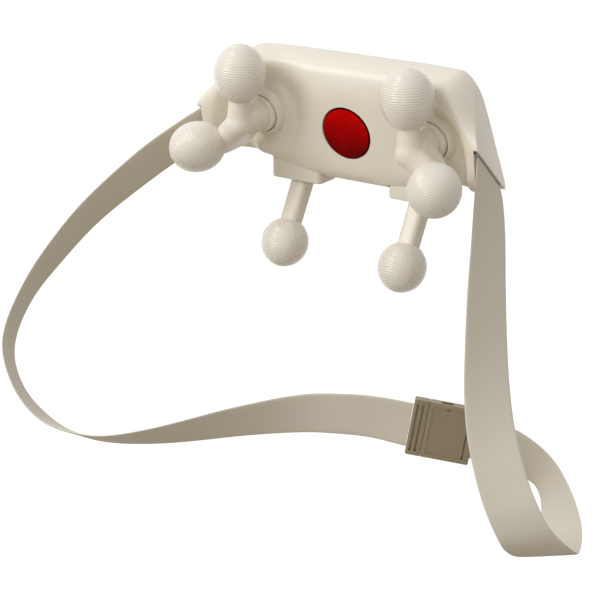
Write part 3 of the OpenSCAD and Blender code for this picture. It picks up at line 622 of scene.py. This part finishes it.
# A fork is one moulding: a hub that rolls in the collar, a palm, and two fingers at an
# angle, blended into each other. Its ball-shaped ends lie inside the silicone pads.
palm, upper_ball, lower_ball = Vector((0, 29.5 * tan(radians(5)), 29.5)), Vector((-2, 42.5, 21.5)), \
    Vector((30, -13, 47.5))
elbow, bend = Vector((11.5, -11.8, 17.6)), Vector((21.2, -16.2, 27))
core_r = 16.5


def aim(start, end):
    """A frame at the end point whose Z runs on from the start point."""
    run = Vector(end) - Vector(start)
    return (Matrix.Translation(end) @ Matrix.Rotation(atan2(run.y, run.x), 4, "Z")
            @ Matrix.Rotation(acos(run.z / run.length), 4, "Y"))


def limb(bm, start, end, r_start, r_end, place):
    """A tapering limb with round ends."""
    length = (Vector(end) - Vector(start)).length
    lap = asin((r_start - r_end) / length)
    profile = [(r_start * cos(a), r_start * sin(a)) for a in [-pi / 2 + k * (lap + pi / 2) / 10 for k in range(11)]]
    profile += [(r_end * cos(a), length + r_end * sin(a)) for a in [lap + k * (pi / 2 - lap) / 10 for k in range(11)]]
    profile[0], profile[-1] = (0, -r_start), (0, length + r_end)
    return turned(profile, place @ aim(start, end) @ Matrix.Translation((0, 0, -length)), 48, bm)


def blended(bm, voxel, rounds):
    """Melts overlapping forms into one skin with soft inner corners."""
    block = as_object(bm)
    step = block.modifiers.new("melt", "REMESH")
    step.mode = "VOXEL"
    step.voxel_size = voxel
    bm = worked(block)
    for _ in range(rounds):
        bmesh.ops.smooth_vert(bm, verts=bm.verts, factor=0.5, use_axis_x=True, use_axis_y=True,
                              use_axis_z=True)
    return bm


hub = [(3.55, -4.5), (14.0, -4.5)] + [(15 * cos(radians(a)), 15 * sin(radians(a))) for a in range(-16, 17, 4)]
hub += [(14.1, 4.45), (13.5, 4.65), (12.1, 4.75), (11.7, 4.9), (11.6, 5.15), (11.6, 5.6), (11.75, 5.95),
        (12.05, 6.25), (12.2, 6.6), (12.18, 9), (12.1, 10.6), (11.9, 11.2), (11.5, 11.6), (3.55, 11.6)]
for name, side in (("left", mirror), ("right", Matrix())):
    arm = turned([(0, 9), (11.3, 9), (11.85, 10.2), (11.9, 16), (10.8, 29), (0, 29)], side @ at_journal, 96)
    limb(arm, palm.lerp(upper_ball, 0.1), palm.lerp(upper_ball, 0.8), 9.4, 7.4, side @ at_pivot)
    limb(arm, (0, 1, 17), palm, 10.4, 11, side @ at_pivot)
    limb(arm, (1, -1, 14), elbow, 11, 10.6, side @ at_pivot)
    limb(arm, elbow, bend, 10.6, 10.2, side @ at_pivot)
    limb(arm, palm, bend, 10.6, 10, side @ at_pivot)
    limb(arm, palm, elbow, 10.6, 10.6, side @ at_pivot)
    limb(arm, bend, bend.lerp(lower_ball, 0.75), 10.2, 9.9, side @ at_pivot)
    for ball in (upper_ball, lower_ball):
        bmesh.ops.create_uvsphere(arm, u_segments=64, v_segments=40, radius=core_r,
                                  matrix=side @ at_pivot @ Matrix.Translation(ball))
    arm = carve(blended(arm, 0.75, 22), rod(-8, 22.5, 3.55, side @ at_journal))
    make(name + "_fork_arm", arm, abs_cream, name + "_fork", "head_plastic", name + "_fork", sharp=40)
    make(name + "_fork_hub", turned(hub, side @ at_journal, 128, closed=True), abs_cream,
         name + "_fork", "head_plastic", name + "_fork")

# Every finger ends in an egg-shaped pad of moulded silicone. Fine ridges run round it, in
# rings about the finger's own axis, and it is hollow for the ball inside.
silicone = finish("silicone", skin, {"Colour": shade(0.945, 0.928, 0.885), "Second colour": shade(0.930, 0.910, 0.865),
                                     "Gloss": 0.20, "Grain": 3200, "Depth": 0.05},
                  Subsurface_Weight=0.08, Subsurface_Radius=(0.004, 0.003, 0.002),
                  Subsurface_Scale=0.4, Coat_Weight=0.35, Coat_Roughness=0.13)
ridge_pitch, ridge_depth = 1.9, 0.24


def ridged_pad(radius, half, neck_r, place):
    inner_r = core_r + 0.05
    low = asin(neck_r / inner_r)
    profile = [(inner_r * sin(a), inner_r * cos(a)) for a in [k * (pi - low) / 24 for k in range(25)]]
    profile[0] = (0, inner_r)
    start = -acos(neck_r / radius)
    count, run, last = 300, 0, None
    for k in range(count + 1):
        a = start + k * (pi / 2 - start) / count
        r, z = radius * cos(a), half * sin(a)
        run += hypot(r - last[0], z - last[1]) if last else 0
        last = (r, z)
        sink = ridge_depth * (0.5 + 0.5 * cos(2 * pi * run / ridge_pitch)) ** 1.6
        reach = hypot(r / radius ** 2, z / half ** 2)
        profile.append((max(0, r - sink * r / radius ** 2 / reach), z - sink * z / half ** 2 / reach))
    profile[-1] = (0, profile[-1][1])
    return turned(profile, place, 112)


for name, side in (("left", mirror), ("right", Matrix())):
    for pad, root, ball, neck_r in (("upper", palm, upper_ball, 8.4), ("lower", bend, lower_ball, 10.1)):
        make(name + "_" + pad + "_ridged_pad", ridged_pad(20, 23, neck_r, side @ at_pivot @ aim(root, ball)),
             silicone, name + "_fork", "pad_silicone", name + "_" + pad + "_pad", sharp=60)

# The thumbs hang under the housing. Each arm swings a few degrees on a steel pin in a
# moulded block that is clamped between the covers, against a torsion spring.
at_thumb = Matrix.Translation((55, 27.5, -42)) @ Matrix.Rotation(radians(150.3), 4, "X")
across_x = Matrix.Rotation(radians(90), 4, "Y")
for name, side in (("left", mirror), ("right", Matrix())):
    stem = brick((-8.1, -7.85, 0), (8.1, 7.85, 63))
    for corner in stem.verts:
        if corner.co.z > 60:
            corner.co = Vector((corner.co.x * 0.95, corner.co.y * 0.95, 63))
    stem = ease_edges(stem, 5, 8, lambda e: abs(e.verts[0].co.z - e.verts[1].co.z) > 50)
    ball = bmesh.new()
    bmesh.ops.create_uvsphere(ball, u_segments=64, v_segments=40, radius=core_r,
                              matrix=Matrix.Translation((0, 0, 63)))
    stem = carve(stem, ball, rod(-8, 8, 7.75, across_x), operation="UNION")
    stem = carve(stem, rod(-10, 10, 2.05, across_x))
    bmesh.ops.transform(stem, matrix=side @ at_thumb, verts=stem.verts)
    make(name + "_thumb_stem", stem, abs_cream, name + "_thumb", "head_plastic", name + "_thumb_arm")
    make(name + "_thumb_ridged_pad",
         ridged_pad(19.2, 20, 8.9, side @ at_thumb @ Matrix.Translation((0, 0, 63))),
         silicone, name + "_thumb", "pad_silicone", name + "_thumb_pad", sharp=60)

    block = ease_edges(brick(block_low, block_high), 5, 8, lambda e: abs(e.verts[0].co.z - e.verts[1].co.z) > 15)
    block = ease_edges(block, 1.4, 4, lambda e: max(v.co.z for v in e.verts) < block_low[2] + 0.1)
    flange = brick(Vector(flange_low) + Vector((0.1, 0.1, 0.1)), Vector(flange_high) - Vector((0.1, 0.1, 0)))
    core = brick((40, 16, -31), (70, 33, -29))
    block = carve(block, core, flange, operation="UNION")
    slot = brick((-8.3, -9.4, 0), (8.3, 9.4, 30), at_thumb)
    barrel = rod(-8.3, 8.3, 8.6, at_thumb @ across_x)
    spring_seat = rod(63.2, 69, 5.4, Matrix.Translation((0, 27.5, -42)) @ across_x)
    pin_hole = rod(34, 76, 2, Matrix.Translation((0, 27.5, -42)) @ across_x)
    block = carve(block, slot, barrel, spring_seat, pin_hole)
    bmesh.ops.transform(block, matrix=side, verts=block.verts)
    make(name + "_thumb_housing", block, abs_cream, "housing", "body_plastic", name + "_thumb_block")

# Three round buttons with a dished face click on the board behind them. The middle one
# switches the massager on, and the small ones choose the kneading and the heat.
button_abs = finish("button_abs", skin,
                    {"Colour": shade(0.88, 0.855, 0.80), "Second colour": shade(0.865, 0.84, 0.78),
                     "Gloss": 0.30, "Grain": 2600, "Depth": 0.08})
mark_ink = finish("mark_ink", skin,
                  {"Colour": shade(0.42, 0.41, 0.39), "Second colour": shade(0.36, 0.35, 0.33),
                   "Gloss": 0.5, "Grain": 3000, "Depth": 0.1})
for name, x, radius in (("power_button", 0, 7), ("mode_button", -button_x, 6), ("heat_button", button_x, 6)):
    cap = [(0, 39.5), (2, 39.5), (2, 40.2), (radius + 0.9, 40.2), (radius + 0.9, 41.4), (radius, 41.4),
           (radius, 44.2), (radius - 0.1, 44.5), (radius - 0.35, 44.72), (radius - 0.8, 44.8),
           (radius - 1.5, 44.68), (radius * 0.5, 44.5), (radius * 0.25, 44.45), (0, 44.43)]
    make(name + "_cap", turned(cap, along_y(x, button_z), 96), button_abs, name, "body_plastic", name)


def ink_line(bm, points, place, width=0.55):
    """A printed line, as a flat thread along points given as (x, z) on a button's face."""
    ring = new_ring(bm, 6)
    for k, (x, z) in enumerate(points):
        before, after = points[max(k - 1, 0)], points[min(k + 1, len(points) - 1)]
        across = Vector((before[1] - after[1], after[0] - before[0])).normalized() * width / 2
        spots = [place @ Vector((x + across.x * u, z + across.y * u, v)) for u, v in
                 ((1, 44.45), (0.6, 44.56), (-0.6, 44.56), (-1, 44.45), (-0.6, 44.34), (0.6, 44.34))]
        if k:
            ring = draw_on(bm, ring, spots)
        else:
            for vertex, spot in zip(ring, spots):
                vertex.co = spot
            bmesh.ops.contextual_create(bm, geom=ring)
    bmesh.ops.contextual_create(bm, geom=ring)


mark = bmesh.new()
ink_line(mark, [(2.4 * sin(radians(a)), -2.4 * cos(radians(a))) for a in range(40, 321, 10)], along_y(0, button_z))
ink_line(mark, [(0, -3.2), (0, -2), (0, -0.6)], along_y(0, button_z))
make("power_mark", mark, mark_ink, "power_button", "dark_plastic")
mark = bmesh.new()
for start in (20, 200):
    ink_line(mark, [(2.2 * sin(radians(a)), -2.2 * cos(radians(a))) for a in range(start, start + 131, 10)],
             along_y(-button_x, button_z), 0.5)
make("mode_mark", mark, mark_ink, "mode_button", "dark_plastic")
mark = bmesh.new()
for x in (-1.5, 0, 1.5):
    ink_line(mark, [(x + 0.35 * sin(k * 0.7), -2 + k * 0.4) for k in range(11)], along_y(button_x, button_z), 0.5)
make("heat_mark", mark, mark_ink, "heat_button", "dark_plastic")

# Four self-tapping screws hold the back cover: zinc-plated pan heads with a cross recess,
# sunk below the surface.
metal, put, get = finish_group(
    "turned_metal", (("Colour", "Color"), ("Second colour", "Color"), ("Gloss", "Float"), ("Streaks", "Vector")),
    (("Colour", "Color"), ("Roughness", "Float"), ("Normal", "Vector")))
where = add(metal, "TexCoord")
drawn = add(metal, "VectorMath", {0: where.outputs["Object"], 1: put.outputs["Streaks"]}, operation="MULTIPLY")
streak = add(metal, "TexNoise", {"Vector": drawn.outputs[0], "Scale": 1, "Detail": 4})
stain = add(metal, "TexNoise", {"Vector": where.outputs["Object"], "Scale": 160, "Detail": 4})
metal.links.new(colour_mix(metal, stain.outputs[0], put.outputs["Colour"], put.outputs["Second colour"]),
                get.inputs["Colour"])
metal.links.new(calc(metal, "MULTIPLY_ADD", streak.outputs[0], 0.25, put.outputs["Gloss"]), get.inputs["Roughness"])
scored = add(metal, "Bump", {"Height": streak.outputs[0], "Strength": 0.2, "Distance": 0.00005})
metal.links.new(scored.outputs[0], get.inputs["Normal"])
zinc = finish("zinc_plate", metal, {"Colour": shade(0.78, 0.79, 0.80), "Second colour": shade(0.68, 0.69, 0.71),
                                    "Gloss": 0.22, "Streaks": (3000, 3000, 3000)}, Metallic=1)
screws = bmesh.new()
for x, z in lid_screws:
    for side in (Matrix(), mirror):
        turned([(0, 16), (0.4, 16), (1.5, 18.5), (1.5, 36), (3, 36), (3, 36.9), (2.7, 37.5), (2.1, 37.85),
                (1, 38), (0, 38)], side @ along_y(x, z), 48, screws)
bars = [bmesh.new(), bmesh.new()]
for bar, turn in zip(bars, (20, 110)):
    for x, z in lid_screws:
        for side in (Matrix(), mirror):
            brick((-1.5, -0.3, 36.9), (1.5, 0.3, 38.6),
                  side @ along_y(x, z) @ Matrix.Rotation(radians(turn), 4, "Z"), bar)
screws = carve(screws, *bars)
make("cover_screw_set", screws, zinc, "housing", "screw_steel", "cover_screws")


def dress(material, *names):
    """Gives a CAD node's solids their finish."""
    for name in names:
        for slot in nodes[name].material_slots:
            slot.material = material


# Inside, the CAD solids keep their shapes: steel, brass and bronze drive parts, glass-filled
# plastic cases, the boards and the two wrapped cells.
dress(zinc, "case_screws")
dress(finish("ground_steel", metal, {"Colour": shade(0.74, 0.74, 0.75), "Second colour": shade(0.62, 0.62, 0.64),
                                     "Gloss": 0.2, "Streaks": (400, 4000, 4000)}, Metallic=1),
      "worm_shaft", "left_crank", "right_crank", "left_thumb_pin", "right_thumb_pin", "motor", "motor_mounts",
      "left_strap_anchor", "right_strap_anchor")
dress(finish("spring_steel", metal, {"Colour": shade(0.60, 0.60, 0.62), "Second colour": shade(0.46, 0.46, 0.49),
                                     "Gloss": 0.25, "Streaks": (4000, 1500, 1500)}, Metallic=1),
      "left_thumb_spring", "right_thumb_spring", "left_shaft_clip", "right_shaft_clip", "charging_port")
dress(finish("cut_brass", metal, {"Colour": shade(0.84, 0.70, 0.40), "Second colour": shade(0.74, 0.58, 0.30),
                                  "Gloss": 0.22, "Streaks": (3500, 600, 3500)}, Metallic=1),
      "left_worm", "right_worm", "left_worm_wheel", "right_worm_wheel")
dress(finish("oiled_bronze", metal, {"Colour": shade(0.62, 0.44, 0.28), "Second colour": shade(0.44, 0.30, 0.20),
                                     "Gloss": 0.42, "Streaks": (2500, 2500, 2500)}, Metallic=0.9),
      "left_bush", "right_bush")
dress(finish("filled_plastic", skin, {"Colour": shade(0.26, 0.27, 0.28), "Second colour": shade(0.22, 0.23, 0.24),
                                      "Gloss": 0.48, "Grain": 1800, "Depth": 0.25}),
      "left_gear_case", "right_gear_case", "left_gear_cover", "right_gear_cover", "battery_tray",
      "left_fork_retainer", "right_fork_retainer", "window_ring")
dress(finish("cell_wrap", skin, {"Colour": shade(0.16, 0.34, 0.52), "Second colour": shade(0.14, 0.30, 0.47),
                                 "Gloss": 0.28, "Grain": 900, "Depth": 0.12}, Coat_Weight=0.4), "battery_cells")
dress(finish("light_pipe", skin, {"Colour": shade(0.93, 0.94, 0.93), "Second colour": shade(0.88, 0.90, 0.90),
                                  "Gloss": 0.15, "Grain": 1200, "Depth": 0.05}, Subsurface_Weight=0.3), "status_lights")

# The boards are glass-fibre laminate under green lacquer, with tracks that show through it.
tracks, put, get = finish_group(
    "board_tracks", (("Lacquer", "Color"), ("Track", "Color")),
    (("Colour", "Color"), ("Roughness", "Float"), ("Normal", "Vector")))
where = add(tracks, "TexCoord")
cells = add(tracks, "TexBrick", {"Vector": where.outputs["Object"], "Color1": (1, 1, 1, 1), "Color2": (0.8, 0.8, 0.8, 1),
                                 "Mortar": (0, 0, 0, 1), "Scale": 90, "Mortar Size": 0.03})
copper = calc(tracks, "GREATER_THAN", add(tracks, "TexNoise", {"Vector": where.outputs["Object"], "Scale": 260}).outputs[0], 0.56)
routed = calc(tracks, "MULTIPLY", cells.outputs["Fac"], 0.8)
routed = calc(tracks, "MAXIMUM", routed, calc(tracks, "MULTIPLY", copper, 0.35))
tracks.links.new(colour_mix(tracks, routed, put.outputs["Lacquer"], put.outputs["Track"]), get.inputs["Colour"])
tracks.links.new(calc(tracks, "MULTIPLY_ADD", routed, 0.15, 0.25), get.inputs["Roughness"])
raised = add(tracks, "Bump", {"Height": routed, "Strength": 0.3, "Distance": 0.00004})
tracks.links.new(raised.outputs[0], get.inputs["Normal"])
dress(finish("circuit_board", tracks, {"Lacquer": shade(0.05, 0.30, 0.16), "Track": shade(0.16, 0.46, 0.24)}),
      "main_board", "heat_board")

# A plain white floor and soft studio light. The lens sees white beyond the floor.
floor_mesh = bmesh.new()
bmesh.ops.create_grid(floor_mesh, x_segments=1, y_segments=1, size=4,
                      matrix=Matrix.Translation((0, 0, -0.36)))
mesh = bpy.data.meshes.new("floor")
floor_mesh.to_mesh(mesh)
floor_mesh.free()
floor = bpy.data.objects.new("floor", mesh)
scene.collection.objects.link(floor)
paper = bpy.data.materials.new("floor_paper")
paper.use_nodes = True
tree = paper.node_tree
tree.nodes.remove(tree.nodes["Principled BSDF"])
matte = add(tree, "BsdfDiffuse", {"Color": (0.34, 0.29, 0.225, 1)})
seen = add(tree, "BsdfDiffuse", {"Color": (0.32, 0.32, 0.32, 1)})
glow = add(tree, "Emission", {"Color": (1, 1, 1, 1), "Strength": 0.86})
both = add(tree, "AddShader", {0: seen.outputs[0], 1: glow.outputs[0]})
path = add(tree, "LightPath")
direct = calc(tree, "MAXIMUM", path.outputs["Is Camera Ray"],
              calc(tree, "MAXIMUM", path.outputs["Is Glossy Ray"], path.outputs["Is Transmission Ray"]))
choice = add(tree, "MixShader", {0: direct, 1: matte.outputs[0], 2: both.outputs[0]})
tree.links.new(choice.outputs[0], tree.nodes["Material Output"].inputs["Surface"])
mesh.materials.append(paper)

world = bpy.data.worlds.new("studio")
scene.world = world
world.use_nodes = True
tree = world.node_tree
ambient = tree.nodes["Background"]
sky = add(tree, "SeparateXYZ", {0: add(tree, "TexCoord").outputs["Generated"]})
climb = add(tree, "MapRange", {"Value": sky.outputs["Z"], "From Min": -0.3, "From Max": 0.8})
tree.links.new(colour_mix(tree, climb.outputs[0], (0.34, 0.28, 0.20, 1), (1, 0.98, 0.95, 1)),
               ambient.inputs["Color"])
ambient.inputs["Strength"].default_value = 0.66
white = add(tree, "Background", {"Color": (1, 1, 1, 1), "Strength": 1})
path = add(tree, "LightPath")
direct = calc(tree, "MAXIMUM", path.outputs["Is Camera Ray"],
              calc(tree, "MAXIMUM", path.outputs["Is Glossy Ray"], path.outputs["Is Transmission Ray"]))
choice = add(tree, "MixShader", {0: direct, 1: ambient.outputs[0], 2: white.outputs[0]})
tree.links.new(choice.outputs[0], tree.nodes["World Output"].inputs["Surface"])


def softbox(name, place, aim_at, size, watts, colour=(1, 1, 1)):
    lamp = bpy.data.lights.new(name, "AREA")
    lamp.size = size
    lamp.energy = watts
    lamp.color = colour
    box = bpy.data.objects.new(name, lamp)
    box.location = place
    box.rotation_euler = (Vector(aim_at) - Vector(place)).to_track_quat("-Z", "Y").to_euler()
    scene.collection.objects.link(box)


softbox("key", (-0.75, -1.1, 0.85), (0, 0, -0.05), 0.7, 9.5)
softbox("front", (0.15, -1.45, 0.75), (0, 0, -0.05), 0.9, 3.5)
